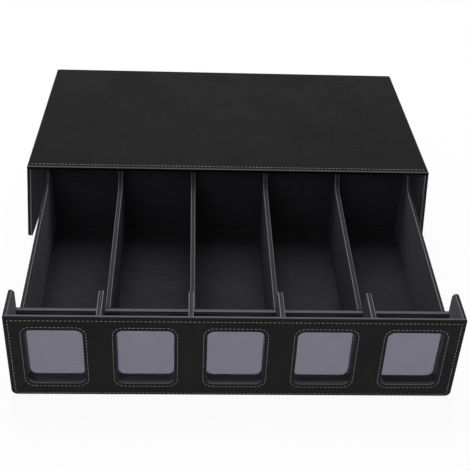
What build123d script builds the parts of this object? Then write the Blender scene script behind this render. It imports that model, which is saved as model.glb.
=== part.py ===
# Trading card box: a tray of five card channels that slides out of a three-sided cover.
# Millimetres. X runs across the box, +Y towards its back and +Z up. The box stands on Z = 0,
# and the origin is the middle of the floor area that it covers as modelled, pulled open.
from build123d import *
import os

os.makedirs("parts", exist_ok=True)

# Display front: a face with one window for each channel, and a shallow pocket behind it
channel_count = 5
front_width = 440.0
front_height = 102.0
face_thickness = 3.5
face_bottom_corner = 6.0
face_top_corner = 1.5
display_depth = 45.0
wing_thickness = 4.0
fin_thickness = 5.0
pocket_side_corner = 8.0
window_width = 55.0
window_height = 68.5
window_sill = 16.5
window_corner = 7.0
frame_lap = 8.0
frame_depth = 3.5
pane_lap = 5.0
pane_thickness = 0.6

# Boards and linings
board = 4.0
back_panel_board = 5.0
divider_thickness = 5.0
lining = 1.0
pad_thickness = 1.5
lining_drop = 1.0
board_round = 1.2
trim_round = 0.4

# Tray
tray_length = 280.0
tray_side_step = 8.0
wall_front_height = 75.0
wall_rear_height = 80.0
full_height_length = 20.5
sweep_corner = 3.0

# Cover
cover_side_gap = 7.0
cover_top_gap = 0.5
closing_gap = 1.0
cover_taper = 8.0
cover_flare = 7.0
cover_rear_corner = 3.0
cover_foot_corner = 7.0
cover_lining_rise = 2.0
tray_left_inside = 21.0

# Heights and depths that follow from the sizes above
tray_width = front_width - 2 * tray_side_step
side_height = front_height - board
wall_top = side_height - lining - cover_top_gap
sweep_rise = wall_top - wall_rear_height
sweep_front = tray_length - full_height_length - sweep_rise
pane_front = face_thickness + frame_depth
panel_front = display_depth - back_panel_board
pocket_rear = panel_front - lining
channel_front = display_depth + lining
wall_rear = tray_length - board
channel_rear = wall_rear - lining
closed_cover_front = display_depth + closing_gap
cover_front = tray_length - tray_left_inside
cover_length = tray_length + closing_gap + lining + board - closed_cover_front
cover_rear = cover_front + cover_length
cover_rear_half = tray_width / 2 + cover_side_gap + lining + board
cover_front_half = cover_rear_half + cover_taper

# Places across the box
pocket_half = front_width / 2 - wing_thickness - lining
pocket_width = (2 * pocket_half - (channel_count - 1) * fin_thickness) / channel_count
pocket_pitch = pocket_width + fin_thickness
channel_half = tray_width / 2 - board - lining
channel_width = (2 * channel_half - (channel_count - 1) * divider_thickness) / channel_count
channel_pitch = channel_width + divider_thickness
window_height_middle = window_sill + window_height / 2


def spread(count, pitch):
    # centres of a row of things, evenly spaced about the middle of the box
    return [(n - (count - 1) / 2) * pitch for n in range(count)]


def at(distance):
    # Y of a point this far behind the front of the face
    return distance - cover_rear / 2


def facing_front(distance):
    # an upright plane across the box, seen from the front
    return Plane(origin=(0, at(distance), 0), x_dir=(1, 0, 0), z_dir=(0, -1, 0))


def facing_right(x):
    # an upright plane along the box, seen from its right side
    return Plane(origin=(x, 0, 0), x_dir=(0, 1, 0), z_dir=(1, 0, 0))


def save(piece, name):
    piece.part.label = name
    export_step(piece.part, f"parts/{name}.step")


def slab(width, front, rear, low, high, middle=0.0):
    # a plain level or upright board between two distances behind the front
    with BuildPart() as piece:
        with BuildSketch(Plane.XY.offset(low)):
            with Locations((middle, (at(front) + at(rear)) / 2)):
                Rectangle(width, rear - front)
        extrude(amount=high - low)
    return piece


def round_top_edges(piece, above, radius):
    # the covering is wrapped round every long edge above this height
    upper = piece.edges().filter_by(lambda edge: edge.center().Z > above)
    fillet(upper.filter_by(Plane.YZ), radius)


def wall_plate(inner_x, thickness, front, rear, low, drop, radius):
    # low where the cards are picked, then swept up to full height under the cover
    high = wall_top - drop
    with BuildPart() as piece:
        with BuildSketch(facing_right(inner_x)) as outline:
            with BuildLine():
                sweep = CenterArc((at(sweep_front), high), sweep_rise, -90, 90)
                Polyline(
                    sweep @ 1,
                    (at(rear), high),
                    (at(rear), low),
                    (at(front), low),
                    (at(front), wall_front_height - drop),
                    sweep @ 0,
                )
            make_face()
            fillet(outline.vertices().sort_by_distance(sweep @ 1)[0], sweep_corner)
        extrude(amount=thickness)
        if radius:
            round_top_edges(piece, low + radius + thickness, radius)
    return piece


def pocket_side(inner_x, thickness, lower_rear, upper_rear, low, high, radius):
    # an upright plate behind the face, which may reach over the panel at the pocket's back
    with BuildPart() as piece:
        with BuildSketch(facing_right(inner_x)) as outline:
            with Locations(((at(face_thickness) + at(lower_rear)) / 2, (low + high) / 2)):
                Rectangle(lower_rear - face_thickness, high - low)
            with Locations(((at(face_thickness) + at(upper_rear)) / 2, (wall_front_height + high) / 2)):
                Rectangle(upper_rear - face_thickness, high - wall_front_height)
            fillet(outline.vertices().sort_by_distance((at(upper_rear), high))[0], pocket_side_corner)
        extrude(amount=thickness)
        if radius:
            round_top_edges(piece, wall_front_height + radius, radius)
    return piece


def cover_outside(distance, height):
    # half width of the cover: it widens towards its mouth, where its sides also stand out
    behind_mouth = (distance - cover_front) / (cover_rear - board - cover_front)
    at_mouth = cover_front_half + cover_flare * (1 - height / side_height)
    return at_mouth + (cover_rear_half - at_mouth) * behind_mouth


def cover_side(side, inset, thickness, front, rear, low, high, corner):
    # side is 1 on the right and -1 on the left
    with BuildPart() as piece:
        for distance in (front, rear):
            with BuildSketch(facing_front(distance)):
                with BuildLine():
                    Polyline(
                        (side * (cover_outside(distance, low) - inset), low),
                        (side * (cover_outside(distance, low) - inset - thickness), low),
                        (side * (cover_outside(distance, high) - inset - thickness), high),
                        (side * (cover_outside(distance, high) - inset), high),
                        close=True,
                    )
                make_face()
        loft(ruled=True)
        with BuildSketch(facing_right(-cover_front_half - cover_flare)) as outline:
            with Locations(((at(front) + at(rear)) / 2, (low + high) / 2)):
                Rectangle(rear - front, high - low)
            fillet(outline.vertices().sort_by_distance((at(front), low))[0], corner)
        extrude(amount=2 * (cover_front_half + cover_flare), mode=Mode.INTERSECT)
    return piece


def cover_plan(front, rear, inset, low, thickness, corner):
    # a level board with the cover's outline, or the lining under it
    with BuildPart() as piece:
        with BuildSketch(Plane.XY.offset(low)) as outline:
            front_half = cover_outside(front, side_height) - inset
            rear_half = cover_outside(rear, side_height) - inset
            with BuildLine():
                Polyline(
                    (-front_half, at(front)),
                    (front_half, at(front)),
                    (rear_half, at(rear)),
                    (-rear_half, at(rear)),
                    close=True,
                )
            make_face()
            if corner:
                fillet(outline.vertices().group_by(Axis.Y)[-1], corner)
        extrude(amount=thickness)
    return piece


# Face: wrapped board with five rounded windows
with BuildPart() as display_face:
    with BuildSketch(facing_front(face_thickness)) as face_outline:
        with Locations((0, front_height / 2)):
            Rectangle(front_width, front_height)
        fillet(face_outline.vertices().group_by(Axis.Y)[0], face_bottom_corner)
        fillet(face_outline.vertices().group_by(Axis.Y)[-1], face_top_corner)
        with Locations([(x, window_height_middle) for x in spread(channel_count, pocket_pitch)]):
            RectangleRounded(window_width, window_height, window_corner, mode=Mode.SUBTRACT)
    extrude(amount=face_thickness)
    fillet(display_face.faces().sort_by(Axis.Y)[0].edges(), board_round)
save(display_face, "display_face")

# Window frames behind the face, each with a clear pane seated on its back
for number, x in enumerate(spread(channel_count, pocket_pitch), start=1):
    with BuildPart() as window_frame:
        with BuildSketch(facing_front(pane_front)):
            with Locations((x, window_height_middle)):
                RectangleRounded(
                    window_width + 2 * frame_lap,
                    window_height + 2 * frame_lap,
                    window_corner + trim_round,
                )
                RectangleRounded(window_width, window_height, window_corner, mode=Mode.SUBTRACT)
        extrude(amount=frame_depth)
    save(window_frame, f"window_frame_{number}")
    with BuildPart() as window_pane:
        with BuildSketch(facing_front(pane_front + pane_thickness)):
            with Locations((x, window_height_middle)):
                RectangleRounded(
                    window_width + 2 * pane_lap,
                    window_height + 2 * pane_lap,
                    window_corner,
                )
        extrude(amount=pane_thickness)
    save(window_pane, f"window_pane_{number}")

# Wings close the ends of the display pocket, and fins part it into five
for side, name in ((-1, "left"), (1, "right")):
    outer = side * front_width / 2
    wing_x = min(outer, outer - side * wing_thickness)
    wing = pocket_side(
        wing_x, wing_thickness, display_depth, display_depth, 0, front_height, board_round
    )
    save(wing, f"{name}_wing")
    lining_outer = outer - side * wing_thickness
    lining_x = min(lining_outer, lining_outer - side * lining)
    wing_lining = pocket_side(
        lining_x,
        lining,
        pocket_rear,
        display_depth - lining_drop,
        board,
        front_height - lining_drop,
        0,
    )
    save(wing_lining, f"{name}_wing_lining")

for number, x in enumerate(spread(channel_count - 1, pocket_pitch), start=1):
    fin = pocket_side(
        x - fin_thickness / 2,
        fin_thickness,
        pocket_rear,
        display_depth,
        board,
        front_height,
        board_round,
    )
    save(fin, f"fin_{number}")

# Floor and back of the display pocket
display_floor = slab(front_width - 2 * wing_thickness, face_thickness, panel_front, 0, board)
save(display_floor, "display_floor")
display_back_panel = slab(
    front_width - 2 * wing_thickness, panel_front, display_depth, 0, wall_front_height
)
save(display_back_panel, "display_back_panel")
display_back_lining = slab(
    front_width - 2 * wing_thickness, pocket_rear, panel_front, board, wall_front_height - lining_drop
)
save(display_back_lining, "display_back_lining")

# Tray: floor, side walls and back wall, with suede on their inner faces
tray_floor = slab(tray_width - 2 * board, display_depth, wall_rear, 0, board)
save(tray_floor, "tray_floor")
for side, name in ((-1, "left"), (1, "right")):
    wall_outer = side * tray_width / 2
    wall_inner = wall_outer - side * board
    lining_inner = wall_inner - side * lining
    side_wall = wall_plate(
        min(wall_outer, wall_inner), board, display_depth, tray_length, 0, 0, board_round
    )
    save(side_wall, f"tray_{name}_wall")
    side_lining = wall_plate(
        min(wall_inner, lining_inner), lining, channel_front, channel_rear, board, lining_drop, 0
    )
    save(side_lining, f"tray_{name}_lining")
tray_back_wall = slab(tray_width - 2 * board, wall_rear, tray_length, 0, wall_top)
save(tray_back_wall, "tray_back_wall")
tray_back_lining = slab(tray_width - 2 * board, channel_rear, wall_rear, board, wall_top - lining_drop)
save(tray_back_lining, "tray_back_lining")
tray_front_lining = slab(
    tray_width - 2 * board, display_depth, channel_front, board, wall_front_height - lining_drop
)
save(tray_front_lining, "tray_front_lining")

# Dividers and the soft pads on the floor between them
for number, x in enumerate(spread(channel_count - 1, channel_pitch), start=1):
    divider = wall_plate(
        x - divider_thickness / 2, divider_thickness, channel_front, channel_rear, board, 0, board_round
    )
    save(divider, f"divider_{number}")
for number, x in enumerate(spread(channel_count, channel_pitch), start=1):
    channel_pad = slab(channel_width, channel_front, channel_rear, board, board + pad_thickness, x)
    save(channel_pad, f"channel_pad_{number}")

# Cover: top, two sides and a back, open underneath and at its mouth
with BuildPart() as cover_top:
    add(cover_plan(cover_front, cover_rear, 0, side_height, board, cover_rear_corner).part)
    fillet(cover_top.faces().sort_by(Axis.Z)[-1].edges(), board_round)
save(cover_top, "cover_top")
for side, name in ((-1, "left"), (1, "right")):
    cover_panel = cover_side(
        side, 0, board, cover_front, cover_rear - board, 0, side_height, cover_foot_corner
    )
    save(cover_panel, f"cover_{name}_side")
    panel_lining = cover_side(
        side,
        board,
        lining,
        cover_front + lining_drop,
        cover_rear - board - lining,
        cover_lining_rise,
        side_height - lining,
        cover_foot_corner,
    )
    save(panel_lining, f"cover_{name}_lining")
with BuildPart() as cover_back:
    with BuildSketch(Plane.XY) as back_outline:
        with Locations((0, at(cover_rear) - board / 2)):
            Rectangle(2 * cover_rear_half, board)
        fillet(back_outline.vertices().group_by(Axis.Y)[-1], cover_rear_corner)
    extrude(amount=side_height)
save(cover_back, "cover_back")
cover_back_lining = slab(
    2 * (cover_rear_half - board),
    cover_rear - board - lining,
    cover_rear - board,
    cover_lining_rise,
    side_height - lining,
)
save(cover_back_lining, "cover_back_lining")
cover_top_lining = cover_plan(
    cover_front + lining_drop, cover_rear - board, board, side_height - lining, lining, 0
)
save(cover_top_lining, "cover_top_lining")
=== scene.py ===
import math
import bmesh
import bpy
from mathutils import Matrix, Vector, noise


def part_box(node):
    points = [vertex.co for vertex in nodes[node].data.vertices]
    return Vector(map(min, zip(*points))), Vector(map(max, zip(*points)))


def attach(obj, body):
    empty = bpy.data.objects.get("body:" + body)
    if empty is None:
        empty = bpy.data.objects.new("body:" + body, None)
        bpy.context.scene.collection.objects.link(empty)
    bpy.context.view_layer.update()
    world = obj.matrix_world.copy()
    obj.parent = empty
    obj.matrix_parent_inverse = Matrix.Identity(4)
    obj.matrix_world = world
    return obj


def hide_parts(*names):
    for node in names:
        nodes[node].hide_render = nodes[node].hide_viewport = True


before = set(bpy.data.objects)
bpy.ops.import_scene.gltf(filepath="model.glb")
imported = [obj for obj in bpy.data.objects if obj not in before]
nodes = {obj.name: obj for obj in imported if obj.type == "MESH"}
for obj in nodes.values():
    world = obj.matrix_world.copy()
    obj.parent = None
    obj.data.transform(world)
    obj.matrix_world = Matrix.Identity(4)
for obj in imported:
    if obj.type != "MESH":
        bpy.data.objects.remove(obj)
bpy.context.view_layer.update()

mm = 0.001
faceLow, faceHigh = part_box("display_face")
wallLow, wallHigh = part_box("tray_left_wall")
lidLow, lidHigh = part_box("cover_top")
ledgeLow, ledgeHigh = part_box("display_back_panel")
padLow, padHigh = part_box("channel_pad_1")
channelCount = sum(name.startswith("channel_pad_") for name in nodes)
print("frame loaded:", len(nodes), "nodes")


def placeObject(name, data):
    made = bpy.data.objects.new(name, data)
    bpy.context.scene.collection.objects.link(made)
    return made


# the camera stands where the photograph's perspective puts it, turned and rolled a little
viewpoint = {
    "place": (-0.0482, -0.9463, 0.7190),
    "pitchDown": 36.60,
    "turnRight": 3.46,
    "roll": -2.79,
    "focalPixels": 986.0,
    "framePixels": 470.0,
    "sensorWidth": 36.0,
}


def makeCamera():
    look = viewpoint
    pitch = math.radians(look["pitchDown"])
    turn = math.radians(look["turnRight"])
    roll = math.radians(look["roll"])
    forward = Vector((math.sin(turn) * math.cos(pitch), math.cos(turn) * math.cos(pitch), -math.sin(pitch)))
    level = Vector((math.cos(turn), -math.sin(turn), 0.0))
    down = forward.cross(level)
    right = math.cos(roll) * level + math.sin(roll) * down
    up = math.sin(roll) * level - math.cos(roll) * down
    turned = Matrix((right, up, -forward)).transposed().to_4x4()
    data = bpy.data.cameras.new("viewCamera")
    data.sensor_width = look["sensorWidth"]
    data.lens = data.sensor_width * look["focalPixels"] / look["framePixels"]
    camera = placeObject("viewCamera", data)
    camera.matrix_world = Matrix.Translation(look["place"]) @ turned
    bpy.context.scene.camera = camera


makeCamera()
print("camera placed")


# short ways to write node trees
def addNode(tree, kind, sockets=None, **settings):
    made = tree.nodes.new(kind)
    for name, value in settings.items():
        setattr(made, name, value)
    for name, value in (sockets or {}).items():
        if isinstance(value, bpy.types.NodeSocket):
            tree.links.new(value, made.inputs[name])
        else:
            made.inputs[name].default_value = value
    return made


def mathNode(tree, operation, *values):
    return addNode(tree, "ShaderNodeMath", dict(enumerate(values)), operation=operation).outputs[0]


def noiseNode(tree, spot, size, detail=2.0, roughness=0.5, distortion=0.0):
    sockets = {
        "Vector": spot, "Scale": 1 / size, "Detail": detail, "Roughness": roughness,
        "Distortion": distortion,
    }
    return addNode(tree, "ShaderNodeTexNoise", sockets).outputs[0]


def rangeNode(tree, value, source, target=(0.0, 1.0), smooth=False):
    sockets = {
        "Value": value, "From Min": source[0], "From Max": source[1], "To Min": target[0],
        "To Max": target[1],
    }
    kind = "SMOOTHSTEP" if smooth else "LINEAR"
    return addNode(tree, "ShaderNodeMapRange", sockets, interpolation_type=kind).outputs[0]


def rampNode(tree, factor, places, colours):
    made = addNode(tree, "ShaderNodeValToRGB", {"Fac": factor})
    for element, place, colour in zip(made.color_ramp.elements, places, colours):
        element.position = place
        element.color = (*colour, 1.0)
    return made.outputs["Color"]


def mixTone(tree, factor, first, second):
    made = addNode(tree, "ShaderNodeMix", data_type="RGBA")
    for index, value in ((0, factor), (6, first), (7, second)):
        if isinstance(value, bpy.types.NodeSocket):
            tree.links.new(value, made.inputs[index])
        else:
            made.inputs[index].default_value = (*value, 1.0)
    return made.outputs[2]


def scaled(colour, share):
    return tuple(part * share for part in colour)


def startMaterial(name):
    material = bpy.data.materials.new(name)
    material.use_nodes = True
    tree = material.node_tree
    tree.nodes.clear()
    output = addNode(tree, "ShaderNodeOutputMaterial")
    surface = addNode(tree, "ShaderNodeBsdfPrincipled")
    tree.links.new(surface.outputs[0], output.inputs["Surface"])
    place = addNode(tree, "ShaderNodeTexCoord")
    return material, tree, surface, place


def addBump(tree, surface, height, depth, strength=1.0, invert=False):
    bump = addNode(
        tree, "ShaderNodeBump", {"Height": height, "Distance": depth, "Strength": strength},
        invert=invert,
    )
    tree.links.new(bump.outputs[0], surface.inputs["Normal"])


# dark grey suede: its short nap, brushed streaks, patches and soft sheen
suedeLook = {
    "napSize": 0.5 * mm,
    "napRoughness": 0.7,
    "napShare": 0.3,
    "brushSize": 1.8 * mm,
    "brushStretch": (0.16, 1.0, 0.8),
    "brushRoughness": 0.6,
    "brushDistortion": 0.2,
    "brushShare": 0.45,
    "patchSize": 45 * mm,
    "patchShare": 0.22,
    "depth": 0.25 * mm,
    "bumpStrength": 0.7,
    "dark": (0.014, 0.014, 0.0165),
    "light": (0.034, 0.034, 0.039),
    "tones": (0.33, 0.63),
    "paintedRearShade": 0.62,
    "roughness": (0.86, 1.0),
    "specular": 0.1,
    "sheen": 0.28,
    "sheenRoughness": 0.45,
    "sheenTint": (0.55, 0.55, 0.62, 1.0),
}


def makeSuede(name, lift=1.0, sheen=1.0, paintedShadeSpan=None, tint=(1.0, 1.0, 1.0)):
    # lift scales the colour, making lighter and darker copies of the one suede as painted light and shade,
    # and sheen scales the sheen;
    # paintedShadeSpan is the pair of Y values, rear and front, between which a painted shade darkens the
    # nap towards the rear
    look = suedeLook
    material, tree, surface, place = startMaterial(name)
    spot = place.outputs["Object"]
    nap = noiseNode(tree, spot, look["napSize"], detail=4.0, roughness=look["napRoughness"])
    stretched = addNode(tree, "ShaderNodeMapping", {"Vector": spot, "Scale": look["brushStretch"]})
    brush = noiseNode(
        tree, stretched.outputs[0], look["brushSize"], detail=5.0, roughness=look["brushRoughness"],
        distortion=look["brushDistortion"],
    )
    patch = noiseNode(tree, spot, look["patchSize"])
    broad = mathNode(tree, "MULTIPLY", patch, look["patchShare"])
    streak = mathNode(tree, "MULTIPLY_ADD", brush, look["brushShare"], broad)
    tone = mathNode(tree, "MULTIPLY_ADD", nap, look["napShare"], streak)
    dark = tuple(c * lift * t for c, t in zip(look["dark"], tint))
    light = tuple(c * lift * t for c, t in zip(look["light"], tint))
    colour = rampNode(tree, tone, look["tones"], (dark, light))
    # painted shade: the nap darkens from the front towards the rear
    if paintedShadeSpan:
        along = addNode(tree, "ShaderNodeSeparateXYZ", {"Vector": spot}).outputs["Y"]
        share = rangeNode(tree, along, paintedShadeSpan, (look["paintedRearShade"], 1.0))
        colour = mixTone(tree, share, (0.0, 0.0, 0.0), colour)
    tree.links.new(colour, surface.inputs["Base Color"])
    rough = rangeNode(tree, nap, (0.0, 1.0), look["roughness"])
    tree.links.new(rough, surface.inputs["Roughness"])
    addBump(tree, surface, tone, look["depth"], look["bumpStrength"])
    surface.inputs["Specular IOR Level"].default_value = look["specular"]
    surface.inputs["Sheen Weight"].default_value = sheen * look["sheen"]
    surface.inputs["Sheen Roughness"].default_value = look["sheenRoughness"]
    surface.inputs["Sheen Tint"].default_value = look["sheenTint"]
    return material


# black imitation leather: its fine pebble grain, soft creases and blotches
leatherLook = {
    "grainSize": 1.3 * mm,
    "grainShade": -0.5,
    "creaseSize": 7 * mm,
    "creaseRoughness": 0.62,
    "creaseHeight": 0.9,
    "blotchSize": 60 * mm,
    "depth": 0.28 * mm,
    "bumpStrength": 0.8,
    "deep": (0.0042, 0.0042, 0.0049),
    "raised": (0.0098, 0.0098, 0.0107),
    "tones": (0.05, 0.45),
    "heights": (0.5, 1.3),
    "roughness": (0.40, 0.60),
    "gloss": 0.09,
}

# the paler edges of the leather: partly wear on the rounded edges, partly a painted highlight
wearAndHighlightLook = {
    "colour": (0.17, 0.17, 0.18),
    "turning": (0.02, 0.14),
    "highlightFacingUp": (0.1, 0.55),
    "onTop": 0.6,
    "stripCore": 0.75,
    "creaseShare": 0.7,
    "evenShare": 0.55,
}

# the suede that some leather pieces have on their flat sides
suedeSideLook = {
    "tones": (0.3, 0.7),
    "flat": 0.97,
}


def leatherHide(tree, spot, shade):
    look = leatherLook
    grain = addNode(
        tree, "ShaderNodeTexVoronoi", {"Vector": spot, "Scale": 1 / look["grainSize"]},
        feature="SMOOTH_F1",
    ).outputs["Distance"]
    crease = noiseNode(tree, spot, look["creaseSize"], detail=6.0, roughness=look["creaseRoughness"])
    blotch = noiseNode(tree, spot, look["blotchSize"], detail=3.0)
    height = mathNode(tree, "MULTIPLY_ADD", crease, look["creaseHeight"], grain)
    tone = mathNode(tree, "MULTIPLY_ADD", grain, look["grainShade"], blotch)
    hide = (scaled(look["deep"], shade), scaled(look["raised"], shade))
    return crease, height, rampNode(tree, tone, look["tones"], hide)


def edgeWearAndHighlight(tree, squared, wearAndHighlight):
    # pale, partly as wear and partly as a painted highlight, where the surface turns from facing along the
    # edge's axis to facing across it
    across = mathNode(tree, "SUBTRACT", 1.0, squared)
    turning = mathNode(tree, "MULTIPLY", squared, across)
    return rangeNode(tree, turning, wearAndHighlightLook["turning"], (0.0, wearAndHighlight), smooth=True)


# painted highlight: the pale edges keep full strength only where they face up towards the light
def upFacingHighlight(tree, edge, up, share):
    kept = rangeNode(tree, up, wearAndHighlightLook["highlightFacingUp"], (share, 1.0))
    return mathNode(tree, "MULTIPLY", edge, kept)


# the pale edges, partly wear and partly painted highlight, stop below a given height
def wearAndHighlightBelow(tree, edge, height, limit):
    below = mathNode(tree, "LESS_THAN", height, limit)
    return mathNode(tree, "MULTIPLY", edge, below)


# painted highlight: a pale strip along a piece's flat top, where it faces up
def stripHighlight(tree, edge, depth, up, strip):
    middle, reach, wearAndHighlight = strip
    away = mathNode(tree, "ABSOLUTE", mathNode(tree, "SUBTRACT", depth, middle))
    paleWearAndHighlight = rangeNode(tree, away, (reach, wearAndHighlightLook["stripCore"] * reach), (0.0, wearAndHighlight), smooth=True)
    onTop = mathNode(tree, "GREATER_THAN", up, wearAndHighlightLook["onTop"])
    return mathNode(tree, "MAXIMUM", edge, mathNode(tree, "MULTIPLY", paleWearAndHighlight, onTop))


# the flat sides in a suede that lift makes lighter than plain suede: painted light
def suedeOnSides(tree, spot, squared, lift, colour, roughness):
    nap = noiseNode(tree, spot, suedeLook["napSize"], detail=4.0, roughness=suedeLook["napRoughness"])
    tones = (scaled(suedeLook["dark"], lift), scaled(suedeLook["light"], lift))
    suede = rampNode(tree, nap, suedeSideLook["tones"], tones)
    flat = mathNode(tree, "GREATER_THAN", squared, suedeSideLook["flat"])
    return mixTone(tree, flat, colour, suede), mathNode(tree, "MAXIMUM", roughness, flat)


# a leather, pale on the edges round which its surface turns towards edgeAxis, partly as wear and partly as
# a painted highlight shade, gloss and pale scale the hide's colour, its shine and the colour of the pale
# edges innerSide is 1 or -1 where only the edge on that side of the axis is pale
# lowerShare is the share of the pale edge kept on edges that don't face up, as the painted highlight is
# strongest on edges that face up, and wearAndHighlightUpTo the height above which no edge is pale
# paleStrip is the middle, half width and strength of a painted highlight in a strip along the top
# suedeSides is how many times lighter than plain suede the flat sides are that face along the axis, a
# lighter copy of the suede as painted light
def makeLeather(
    name, edgeAxis, wearAndHighlight=1.0, shade=1.0, gloss=1.0, pale=1.0, innerSide=None, lowerShare=None,
    wearAndHighlightUpTo=None, paleStrip=None, suedeSides=None,
):
    look = leatherLook
    material, tree, surface, place = startMaterial(name)
    spot = place.outputs["Object"]
    crease, height, colour = leatherHide(tree, spot, shade)
    where = addNode(tree, "ShaderNodeSeparateXYZ", {"Vector": spot}).outputs
    facing = addNode(tree, "ShaderNodeSeparateXYZ", {"Vector": place.outputs["Normal"]}).outputs
    along = facing[edgeAxis]
    if innerSide:
        along = mathNode(tree, "MAXIMUM", 0.0, mathNode(tree, "MULTIPLY", along, innerSide))
    squared = mathNode(tree, "MULTIPLY", along, along)
    edge = edgeWearAndHighlight(tree, squared, wearAndHighlight)
    if lowerShare:
        edge = upFacingHighlight(tree, edge, facing["Z"], lowerShare)
    if wearAndHighlightUpTo:
        edge = wearAndHighlightBelow(tree, edge, where["Z"], wearAndHighlightUpTo)
    if paleStrip:
        edge = stripHighlight(tree, edge, where["Y"], facing["Z"], paleStrip)
    uneven = mathNode(tree, "MULTIPLY_ADD", crease, wearAndHighlightLook["creaseShare"], wearAndHighlightLook["evenShare"])
    paleWearAndHighlight = mathNode(tree, "MULTIPLY", edge, uneven)
    colour = mixTone(tree, paleWearAndHighlight, colour, scaled(wearAndHighlightLook["colour"], pale))
    roughness = rangeNode(tree, height, look["heights"], look["roughness"])
    if suedeSides:
        colour, roughness = suedeOnSides(tree, spot, squared, suedeSides, colour, roughness)
    tree.links.new(colour, surface.inputs["Base Color"])
    tree.links.new(roughness, surface.inputs["Roughness"])
    addBump(tree, surface, height, look["depth"], look["bumpStrength"], invert=True)
    surface.inputs["Specular IOR Level"].default_value = gloss * look["gloss"]
    return material


# clear glossy sheet, which mirrors the pale table as a lavender grey
paneLook = {
    "index": 2.0,
    "tint": (0.845, 0.815, 1.0, 1.0),
    "body": (0.86, 0.85, 0.92, 1.0),
    "roughness": (0.03, 0.09),
    "smudgeSize": 14 * mm,
    "waviness": 0.02 * mm,
}


def makePane(name):
    look = paneLook
    material, tree, surface, place = startMaterial(name)
    smudge = noiseNode(tree, place.outputs["Object"], look["smudgeSize"], detail=4.0)
    rough = rangeNode(tree, smudge, (0.0, 1.0), look["roughness"])
    tree.links.new(rough, surface.inputs["Roughness"])
    addBump(tree, surface, smudge, look["waviness"])
    surface.inputs["Base Color"].default_value = look["body"]
    surface.inputs["Transmission Weight"].default_value = 1.0
    surface.inputs["IOR"].default_value = look["index"]
    surface.inputs["Specular Tint"].default_value = look["tint"]
    return material


# bluish black satin on the frames that hold the clear sheets
frameLook = {
    "low": (0.005, 0.004, 0.009),
    "high": (0.012, 0.009, 0.022),
    "tones": (0.35, 0.7),
    "mottleSize": 9 * mm,
    "roughness": (0.30, 0.48),
    "grainSize": 0.4 * mm,
    "grainDepth": 0.03 * mm,
    "specular": 0.35,
}


def makeFrameSatin(name):
    look = frameLook
    material, tree, surface, place = startMaterial(name)
    spot = place.outputs["Object"]
    mottle = noiseNode(tree, spot, look["mottleSize"], detail=3.0)
    colour = rampNode(tree, mottle, look["tones"], (look["low"], look["high"]))
    tree.links.new(colour, surface.inputs["Base Color"])
    rough = rangeNode(tree, mottle, (0.0, 1.0), look["roughness"])
    tree.links.new(rough, surface.inputs["Roughness"])
    addBump(tree, surface, noiseNode(tree, spot, look["grainSize"]), look["grainDepth"])
    surface.inputs["Specular IOR Level"].default_value = look["specular"]
    return material


# thread with a twisted ply: pale grey where it shows, near black along the dividers
threadLook = {
    "shade": (0.34, 0.34, 0.35),
    "pale": (0.60, 0.60, 0.62),
    "tones": (0.2, 0.8),
    "plyLength": 3.0 * mm,
    "plyDepth": 0.08 * mm,
    "roughness": (0.7, 0.9),
    "specular": 0.3,
}


def makeThread(name, level=1.0):
    look = threadLook
    material, tree, surface, place = startMaterial(name)
    ply = addNode(
        tree, "ShaderNodeTexWave",
        {"Vector": place.outputs["Object"], "Scale": 1 / look["plyLength"], "Distortion": 3.0,
         "Detail": 2.0},
        bands_direction="DIAGONAL",
    ).outputs["Fac"]
    colours = (scaled(look["shade"], level), scaled(look["pale"], level))
    tree.links.new(rampNode(tree, ply, look["tones"], colours), surface.inputs["Base Color"])
    rough = rangeNode(tree, ply, (0.0, 1.0), look["roughness"])
    tree.links.new(rough, surface.inputs["Roughness"])
    addBump(tree, surface, ply, look["plyDepth"])
    surface.inputs["Specular IOR Level"].default_value = look["specular"]
    return material


# strips of painted highlight by middle, half width and strength, and the span of the painted shade that
# darkens the floors towards the rear
faceStrip = (faceHigh.y - 1.1 * mm, 1.2 * mm, 0.6)
ledgeStrip = ((ledgeLow.y + ledgeHigh.y) / 2, 1.9 * mm, 0.6)
floorShadeSpan = (padHigh.y, padLow.y + 60 * mm)
# dividers and fins: flat sides in suede made lighter as painted light, and pale edges, partly wear and
# partly painted highlight, paler still on the fins
leatherDivider = makeLeather("leatherDivider", "X", suedeSides=1.8)
leatherFin = makeLeather("leatherFin", "X", pale=1.5, suedeSides=2.6)
leatherLeft = makeLeather("leatherEdgedLeft", "X", innerSide=1.0)
leatherRight = makeLeather("leatherEdgedRight", "X", innerSide=-1.0)
# the face: pale edges, partly wear and partly painted highlight, mostly on the window lips that face up,
# none on the rounded top edge, and a painted highlight along the flat top
leatherFront = makeLeather(
    "leatherEdgedFront", "Y", lowerShare=0.1, wearAndHighlightUpTo=faceHigh.z - 4 * mm, paleStrip=faceStrip
)
# the lid is a darker copy of the leather: painted shade
leatherLidPaintedShade = makeLeather("leatherEdgedLidPaintedShade", "Z", shade=0.7, gloss=0.4)
leatherPlain = makeLeather("leatherPlain", "Z", wearAndHighlight=0.15)
# the ledge: a painted highlight in a strip along its top
leatherLedge = makeLeather("leatherLedge", "X", paleStrip=ledgeStrip)
# the turned edge is a much lighter copy of the leather: painted highlight
leatherTurnedPaintedHighlight = makeLeather("leatherTurnedPaintedHighlight", "Z", shade=22.0)
suedeDark = makeSuede("suedeDark")
# the wall linings are a darker copy of the suede: painted shade
suedeWallPaintedShade = makeSuede("suedeWallPaintedShade", 0.4, sheen=0.5)
suedeRear = makeSuede("suedeRear", 1.0, sheen=0.6)
# the cover's linings are a lighter copy of the suede: painted light
suedeCoverPaintedLight = makeSuede("suedeCoverPaintedLight", 1.5)
# the pocket's lining is a lighter copy of the suede as painted light, with a bluish tint
suedePocketPaintedLight = makeSuede("suedePocketPaintedLight", 1.7, tint=(0.85, 0.80, 1.35))
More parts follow.
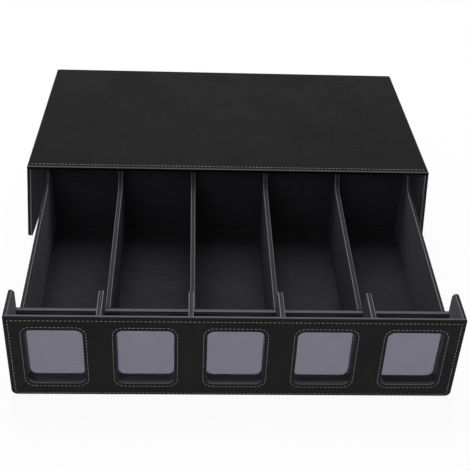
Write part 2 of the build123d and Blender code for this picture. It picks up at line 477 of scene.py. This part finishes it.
# the floor pads carry a painted shade that darkens them towards the rear
suedeFloor = makeSuede("suedeFloor", 1.08, sheen=0.7, paintedShadeSpan=floorShadeSpan)
# the wing linings are a lighter copy of the suede: painted light
suedeWingPaintedLight = makeSuede("suedeWingPaintedLight", 2.0)
paneClear = makePane("paneClear")
frameSatin = makeFrameSatin("frameSatin")
threadPale = makeThread("threadPale")
threadDim = makeThread("threadDim", 0.09)
threadGrey = makeThread("threadGrey", 0.35)
print("materials made")


# the frame's finishes by the start of a node's name, of which the last that fits is taken
finishes = {
    "display_face": leatherFront,
    "display_back_panel": leatherLedge,
    "display_back_lining": suedePocketPaintedLight,
    "display_floor": suedePocketPaintedLight,
    "window_pane": paneClear,
    "window_frame": frameSatin,
    "left_wing": leatherLeft,
    "left_wing_lining": suedeWingPaintedLight,
    "right_wing": leatherRight,
    "right_wing_lining": suedeWingPaintedLight,
    "fin_": leatherFin,
    "divider_": leatherDivider,
    "tray_left_wall": leatherLeft,
    "tray_left_lining": suedeWallPaintedShade,
    "tray_right_wall": leatherRight,
    "tray_right_lining": suedeWallPaintedShade,
    "tray_back_lining": suedeRear,
    "cover_top": leatherLidPaintedShade,
    "cover_left_lining": suedeCoverPaintedLight,
    "cover_right_lining": suedeCoverPaintedLight,
}


def finishFor(name):
    fits = [finish for start, finish in finishes.items() if name.startswith(start)]
    if fits:
        return fits[-1]
    return suedeDark if name.endswith("lining") else leatherPlain


for name, node in nodes.items():
    for number in range(len(node.data.materials)):
        node.data.materials[number] = finishFor(name)
print("finishes given to the frame's nodes")


# rows of stitches: one tree lays them along any path
def makeStitchTree():
    tree = bpy.data.node_groups.new("stitchRow", "GeometryNodeTree")
    interface = tree.interface
    interface.new_socket("Path", in_out="INPUT", socket_type="NodeSocketGeometry")
    for name, kind, value in (
        ("Pitch", "NodeSocketFloat", 4.2 * mm),
        ("Stitch Length", "NodeSocketFloat", 3.0 * mm),
        ("Thread Width", "NodeSocketFloat", 0.5 * mm),
        ("Thread Height", "NodeSocketFloat", 0.3 * mm),
        ("Unevenness", "NodeSocketFloat", 0.08),
        ("Facing", "NodeSocketVector", (0.0, 0.0, 1.0)),
        ("Across", "NodeSocketVector", (1.0, 0.0, 0.0)),
        ("Bends Along", "NodeSocketBool", False),
        ("Seed", "NodeSocketInt", 3),
    ):
        interface.new_socket(name, in_out="INPUT", socket_type=kind).default_value = value
    interface.new_socket("Thread", in_out="INPUT", socket_type="NodeSocketMaterial")
    interface.new_socket("Stitches", in_out="OUTPUT", socket_type="NodeSocketGeometry")
    given = addNode(tree, "NodeGroupInput").outputs
    points = addNode(
        tree, "GeometryNodeCurveToPoints", {"Curve": given["Path"], "Length": given["Pitch"]},
        mode="LENGTH",
    ).outputs
    tangent = points["Tangent"]
    upright = addNode(
        tree, "ShaderNodeVectorMath", {0: given["Across"], 1: tangent}, operation="CROSS_PRODUCT"
    )
    normal = addNode(
        tree, "GeometryNodeSwitch",
        {"Switch": given["Bends Along"], "False": given["Facing"], "True": upright.outputs[0]},
        input_type="VECTOR",
    )
    lengthwise = addNode(tree, "FunctionNodeAlignRotationToVector", {"Vector": tangent}, axis="X")
    seated = addNode(
        tree, "FunctionNodeAlignRotationToVector",
        {"Rotation": lengthwise.outputs[0], "Vector": normal.outputs[0]}, axis="Z", pivot_axis="X",
    )
    bead = addNode(tree, "GeometryNodeMeshUVSphere", {"Segments": 7, "Rings": 6, "Radius": 0.5})
    shape = addNode(
        tree, "ShaderNodeCombineXYZ",
        {"X": given["Stitch Length"], "Y": given["Thread Width"], "Z": given["Thread Height"]},
    )
    stitch = addNode(
        tree, "GeometryNodeTransform", {"Geometry": bead.outputs["Mesh"], "Scale": shape.outputs[0]}
    )
    least = mathNode(tree, "SUBTRACT", 1.0, given["Unevenness"])
    most = mathNode(tree, "ADD", 1.0, given["Unevenness"])
    size = addNode(
        tree, "FunctionNodeRandomValue", {2: least, 3: most, "Seed": given["Seed"]}, data_type="FLOAT"
    )
    rows = addNode(
        tree, "GeometryNodeInstanceOnPoints",
        {"Points": points["Points"], "Instance": stitch.outputs[0], "Rotation": seated.outputs[0],
         "Scale": size.outputs[1]},
    )
    real = addNode(tree, "GeometryNodeRealizeInstances", {"Geometry": rows.outputs[0]})
    smooth = addNode(tree, "GeometryNodeSetShadeSmooth", {"Geometry": real.outputs[0]})
    dressed = addNode(
        tree, "GeometryNodeSetMaterial", {"Geometry": smooth.outputs[0], "Material": given["Thread"]}
    )
    output = addNode(tree, "NodeGroupOutput")
    tree.links.new(dressed.outputs[0], output.inputs[0])
    return tree


stitchTree = makeStitchTree()
stitchProud = 0.05 * mm


def pathCurve(name, paths, closed=False):
    data = bpy.data.curves.new(name, "CURVE")
    data.dimensions = "3D"
    for path in paths:
        spline = data.splines.new("POLY")
        spline.points.add(len(path) - 1)
        for point, place in zip(spline.points, path):
            point.co = (*place, 1.0)
        spline.use_cyclic_u = closed
    return placeObject(name, data)


def curveToMesh(curve):
    # the mesh of a curve and its modifiers, in place of the curve
    bpy.context.view_layer.update()
    evaluated = curve.evaluated_get(bpy.context.evaluated_depsgraph_get())
    mesh = bpy.data.meshes.new_from_object(evaluated)
    bpy.data.objects.remove(curve)
    return mesh


def layStitches(name, body, paths, closed=False, thread=threadPale, **inputs):
    # inputs are the tree's sockets by name, with an underscore for each space
    curve = pathCurve(name + "Path", paths, closed)
    modifier = curve.modifiers.new("stitches", "NODES")
    modifier.node_group = stitchTree
    sockets = {s.name: s.identifier for s in stitchTree.interface.items_tree if s.in_out == "INPUT"}
    modifier[sockets["Thread"]] = thread
    for label, value in inputs.items():
        modifier[sockets[label.replace("_", " ")]] = value
    mesh = curveToMesh(curve)
    piece = placeObject(name, mesh)
    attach(piece, body)
    print("stitched", name, len(mesh.polygons), "faces")


# the face: a row round its edge and a ring round each window
faceStitching = {
    "inset": 4.4 * mm,
    "bottomInset": 2.8 * mm,
    "bottomCorner": 4.0 * mm,
    "topCorner": 1.5 * mm,
    "windowWidth": 55 * mm,
    "besideWindow": 3.5 * mm,
    "overWindow": 4.2 * mm,
    "windowCorner": 10.0 * mm,
    "cornerSteps": 6,
}


def roundedLoop(left, right, low, high, lowCorner, highCorner):
    # an upright rectangle with rounded corners, on the face's front
    steps = faceStitching["cornerSteps"]
    front = faceLow.y - stitchProud
    loop = []
    for x, z, radius, start in (
        (right - lowCorner, low + lowCorner, lowCorner, -90),
        (right - highCorner, high - highCorner, highCorner, 0),
        (left + highCorner, high - highCorner, highCorner, 90),
        (left + lowCorner, low + lowCorner, lowCorner, 180),
    ):
        for step in range(steps + 1):
            turn = math.radians(start + 90 * step / steps)
            loop.append((x + radius * math.cos(turn), front, z + radius * math.sin(turn)))
    return loop


def windowRing(number):
    look = faceStitching
    low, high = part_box(f"window_frame_{number}")
    lap = (high.x - low.x - look["windowWidth"]) / 2
    aside = look["besideWindow"] - lap
    over = look["overWindow"] - lap
    corner = look["windowCorner"]
    return roundedLoop(low.x - aside, high.x + aside, low.z - over, high.z + over, corner, corner)


def stitchFace():
    look = faceStitching
    edge = roundedLoop(
        faceLow.x + look["inset"], faceHigh.x - look["inset"], faceLow.z + look["bottomInset"],
        faceHigh.z - look["inset"], look["bottomCorner"], look["topCorner"],
    )
    layStitches("face_stitching", "tray", [edge], closed=True, Facing=(0.0, -1.0, 0.0))
    rings = [windowRing(number) for number in range(1, channelCount + 1)]
    layStitches("window_stitching", "tray", rings, closed=True, Facing=(0.0, -1.0, 0.0), Seed=5)


stitchFace()

# the dividers' tops: low, with a gentle rise, and then a quick sweep up to full height
dividerStitching = {
    "frontHeight": 75 * mm,
    "rearHeight": 80 * mm,
    "fullLength": 20.5 * mm,
    "startGap": 3 * mm,
    "sweepDegrees": 76,
    "sweepSteps": 10,
    "cornerGap": 5 * mm,
    "endGap": 7 * mm,
}


def dividerRows(x):
    # one row up to the rounded corner and one along the full height behind it
    look = dividerStitching
    full = wallHigh.z
    rise = full - look["rearHeight"]
    fullFront = wallHigh.y - look["fullLength"]
    reach = rise - stitchProud
    front = [(x, wallLow.y + look["startGap"], look["frontHeight"] + stitchProud)]
    for step in range(look["sweepSteps"] + 1):
        turn = math.radians(-90 + look["sweepDegrees"] * step / look["sweepSteps"])
        front.append((x, fullFront - rise + reach * math.cos(turn), full + reach * math.sin(turn)))
    top = full + stitchProud
    rear = [(x, fullFront + look["cornerGap"], top), (x, wallHigh.y - look["endGap"], top)]
    return [front, rear]


def stitchDividers():
    paths = []
    for number in range(1, channelCount):
        low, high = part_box(f"divider_{number}")
        paths += dividerRows((low.x + high.x) / 2)
    layStitches(
        "divider_stitching", "tray", paths, thread=threadDim, Bends_Along=True,
        Across=(1.0, 0.0, 0.0), Seed=7,
    )


stitchDividers()

# the fins' tops, with finer stitches
finStitching = {
    "frontGap": 2 * mm,
    "rearGap": 7 * mm,
    "pitch": 3.8 * mm,
    "stitchLength": 2.6 * mm,
    "threadWidth": 0.4 * mm,
}


def stitchFins():
    look = finStitching
    paths = []
    for number in range(1, channelCount):
        low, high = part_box(f"fin_{number}")
        x = (low.x + high.x) / 2
        top = high.z + stitchProud
        paths.append([(x, low.y + look["frontGap"], top), (x, high.y - look["rearGap"], top)])
    layStitches(
        "fin_stitching", "tray", paths, thread=threadGrey, Facing=(0.0, 0.0, 1.0),
        Thread_Width=look["threadWidth"], Pitch=look["pitch"], Stitch_Length=look["stitchLength"],
        Seed=9,
    )


stitchFins()

# the cover's outside: wider at its feet than at its lid, and narrower towards the back
coverShape = {
    "rear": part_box("cover_right_side")[1].y,
    "rearHalf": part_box("cover_back")[1].x,
    "flare": 7.0 * mm,
    "footCorner": 7.0 * mm,
    "board": 4.0 * mm,
}


def coverHalf(y, z):
    atMouth = lidHigh.x + coverShape["flare"] * (1 - z / lidLow.z)
    share = (y - lidLow.y) / (coverShape["rear"] - lidLow.y)
    return atMouth + (coverShape["rearHalf"] - atMouth) * share


# one row along the lid's front edge, and one on each side, down from the lid and back along the foot
coverStitching = {
    "inset": 5.2 * mm,
    "endInset": 6.0 * mm,
    "lidGap": 4.0 * mm,
    "footInset": 5.0 * mm,
    "corner": 4.0 * mm,
    "cornerShare": 0.3,
    "rearGap": 6.0 * mm,
    "lean": 0.05,
}


def stitchCover():
    look = coverStitching
    front = lidLow.y + look["inset"]
    half = lidHigh.x - look["endInset"]
    top = lidHigh.z + stitchProud
    layStitches("lid_stitching", "cover", [[(-half, front, top), (half, front, top)]], Seed=11)
    foot = look["footInset"]
    corner = look["corner"]
    cut = look["cornerShare"] * corner
    path = [
        (front, lidLow.z - look["lidGap"]), (front, foot + corner), (front + cut, foot + cut),
        (front + corner, foot), (coverShape["rear"] - look["rearGap"], foot),
    ]
    for side, name in ((-1, "left"), (1, "right")):
        points = [(side * (coverHalf(y, z) + stitchProud), y, z) for y, z in path]
        layStitches(
            f"cover_{name}_stitching", "cover", [points], Facing=(float(side), 0.0, look["lean"]),
            Seed=13 + side,
        )


stitchCover()

# a turned edge round the mouth, along the inner corner of each side, pale as a painted highlight
mouthEdging = {
    "radius": 0.8 * mm,
    "roundness": 2,
    "proud": 0.35 * mm,
    "lidGap": 0.5 * mm,
    "cornerDegrees": 82,
    "cornerSteps": 8,
}


def makeEdging():
    look = mouthEdging
    front = lidLow.y - look["proud"]
    corner = coverShape["footCorner"]
    path = [(front, lidLow.z - look["lidGap"]), (front, (lidLow.z + corner) / 2)]
    for step in range(look["cornerSteps"] + 1):
        turn = math.radians(look["cornerDegrees"] * step / look["cornerSteps"])
        path.append(
            (front + corner * (1 - math.cos(turn)), look["radius"] + corner * (1 - math.sin(turn)))
        )
    for side, name in ((-1, "left"), (1, "right")):
        points = [
            (side * (coverHalf(max(y, lidLow.y), z) - coverShape["board"]), y, z) for y, z in path
        ]
        curve = pathCurve(f"cover_{name}_edgingPath", [points])
        curve.data.bevel_depth = look["radius"]
        curve.data.bevel_resolution = look["roundness"]
        curve.data.use_fill_caps = True
        mesh = curveToMesh(curve)
        mesh.materials.clear()
        mesh.materials.append(leatherTurnedPaintedHighlight)
        bead = placeObject(f"cover_{name}_edging", mesh)
        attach(bead, "cover")


makeEdging()
print("mouth edging laid")

# soft suede floor pads, crowned a little and rolled down at their edges
# the higher a flatness, the nearer to the pad's edge it rolls down
padLook = {
    "across": 24,
    "along": 64,
    "edgeHeight": 0.7 * mm,
    "crown": 1.0 * mm,
    "pullIn": 0.5 * mm,
    "flatAcross": 8,
    "flatAlong": 24,
    "lumpSize": 34 * mm,
    "lump": 0.35 * mm,
    "fill": 0.3,
}


def spread(step, steps):
    # from -1 to 1, in steps that grow smaller towards both ends
    return math.sin(math.pi / 2 * (2 * step / steps - 1))


def padPoint(u, v, low, high, number):
    look = padLook
    middle = (low + high) / 2
    half = (high - low) / 2
    inside = (1 - u ** look["flatAcross"]) * (1 - v ** look["flatAlong"])
    x = middle.x + half.x * u - look["pullIn"] * (1 - v ** 2) * u ** (look["flatAcross"] + 1)
    y = middle.y + half.y * v - look["pullIn"] * (1 - u ** 2) * v ** (look["flatAlong"] + 1)
    lump = look["lump"] * noise.noise(Vector((x, y, number)) / look["lumpSize"])
    full = high.z - low.z - look["edgeHeight"] + look["crown"] * (1 - u ** 2) + lump
    return x, y, low.z + look["edgeHeight"] + inside * full


def padShell(number):
    look = padLook
    low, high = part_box(f"channel_pad_{number}")
    shell = bmesh.new()
    columns = [spread(i, look["across"]) for i in range(look["across"] + 1)]
    rows = []
    for j in range(look["along"] + 1):
        v = spread(j, look["along"])
        rows.append([shell.verts.new(padPoint(u, v, low, high, number)) for u in columns])
    for first, second in zip(rows, rows[1:]):
        for a, b, c, d in zip(first, first[1:], second[1:], second):
            shell.faces.new((a, b, c, d))
    left = [row[0] for row in rows]
    right = [row[-1] for row in rows]
    rim = rows[0][:-1] + right[:-1] + rows[-1][:0:-1] + left[:0:-1]
    foot = [shell.verts.new((vertex.co.x, vertex.co.y, low.z)) for vertex in rim]
    for a, b, c, d in zip(rim, rim[1:] + rim[:1], foot[1:] + foot[:1], foot):
        shell.faces.new((a, d, c, b))
    shell.faces.new(foot)
    bmesh.ops.recalc_face_normals(shell, faces=shell.faces)
    return shell


def makePad(number):
    mesh = bpy.data.meshes.new(f"soft_pad_{number}")
    shell = padShell(number)
    shell.to_mesh(mesh)
    shell.free()
    mesh.shade_smooth()
    mesh.materials.append(suedeFloor)
    pad = placeObject(f"soft_pad_{number}", mesh)
    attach(pad, "tray")
    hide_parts(f"channel_pad_{number}")


for number in range(1, channelCount + 1):
    makePad(number)
print("floor pads made")


# plain pale floor and soft studio light
studio = {
    "floorSpan": 12.0,
    "floorDrop": 0.3 * mm,
    "floorTone": 0.92,
    "whiteShare": 0.94,
    "worldLevel": 0.22,
    "keyPower": 27.0,
    "keySize": 1.2,
    "keyPlace": (-0.1, 0.75, 1.6),
    "fillPower": 8.0,
    "fillSize": 1.6,
    "fillPlace": (-0.6, -1.6, 1.3),
}
white = (1.0, 1.0, 1.0, 1.0)


def seenDirectly(tree):
    # 1 where the camera, a reflection or a clear sheet shows the surface, and 0 where it only gives light
    path = addNode(tree, "ShaderNodeLightPath").outputs
    seen = mathNode(tree, "MAXIMUM", path["Is Camera Ray"], path["Is Glossy Ray"])
    return mathNode(tree, "MAXIMUM", seen, path["Is Transmission Ray"])


def makeFloorMaterial():
    material = bpy.data.materials.new("paleFloor")
    material.use_nodes = True
    tree = material.node_tree
    tree.nodes.clear()
    tone = studio["floorTone"]
    matt = addNode(tree, "ShaderNodeBsdfDiffuse", {"Color": (tone, tone, tone, 1.0)})
    glow = addNode(tree, "ShaderNodeEmission", {"Color": white, "Strength": 1.0})
    share = mathNode(tree, "MULTIPLY", seenDirectly(tree), studio["whiteShare"])
    mixed = addNode(tree, "ShaderNodeMixShader", {0: share, 1: matt.outputs[0], 2: glow.outputs[0]})
    addNode(tree, "ShaderNodeOutputMaterial", {"Surface": mixed.outputs[0]})
    return material


def makeFloor():
    half = studio["floorSpan"] / 2
    level = -studio["floorDrop"]
    corners = [(-half, -half, level), (half, -half, level), (half, half, level), (-half, half, level)]
    mesh = bpy.data.meshes.new("floor")
    mesh.from_pydata(corners, [], [(0, 1, 2, 3)])
    mesh.materials.append(makeFloorMaterial())
    floor = placeObject("floor", mesh)


def makeWorld():
    world = bpy.data.worlds.new("studioWorld")
    bpy.context.scene.world = world
    world.use_nodes = True
    tree = world.node_tree
    tree.nodes.clear()
    level = studio["worldLevel"]
    strength = mathNode(tree, "MULTIPLY_ADD", seenDirectly(tree), 1.0 - level, level)
    light = addNode(tree, "ShaderNodeBackground", {"Color": white, "Strength": strength})
    addNode(tree, "ShaderNodeOutputWorld", {"Surface": light.outputs[0]})


def makeLamp(name, power, size, place):
    data = bpy.data.lights.new(name, "AREA")
    data.energy = power
    data.size = size
    lamp = placeObject(name, data)
    lamp.location = place
    lamp.rotation_euler = (-Vector(place)).to_track_quat("-Z", "Y").to_euler()


makeFloor()
makeWorld()
makeLamp("keyLamp", studio["keyPower"], studio["keySize"], studio["keyPlace"])
makeLamp("fillLamp", studio["fillPower"], studio["fillSize"], studio["fillPlace"])
bpy.context.scene.view_settings.view_transform = "Standard"
print("floor and lights set")
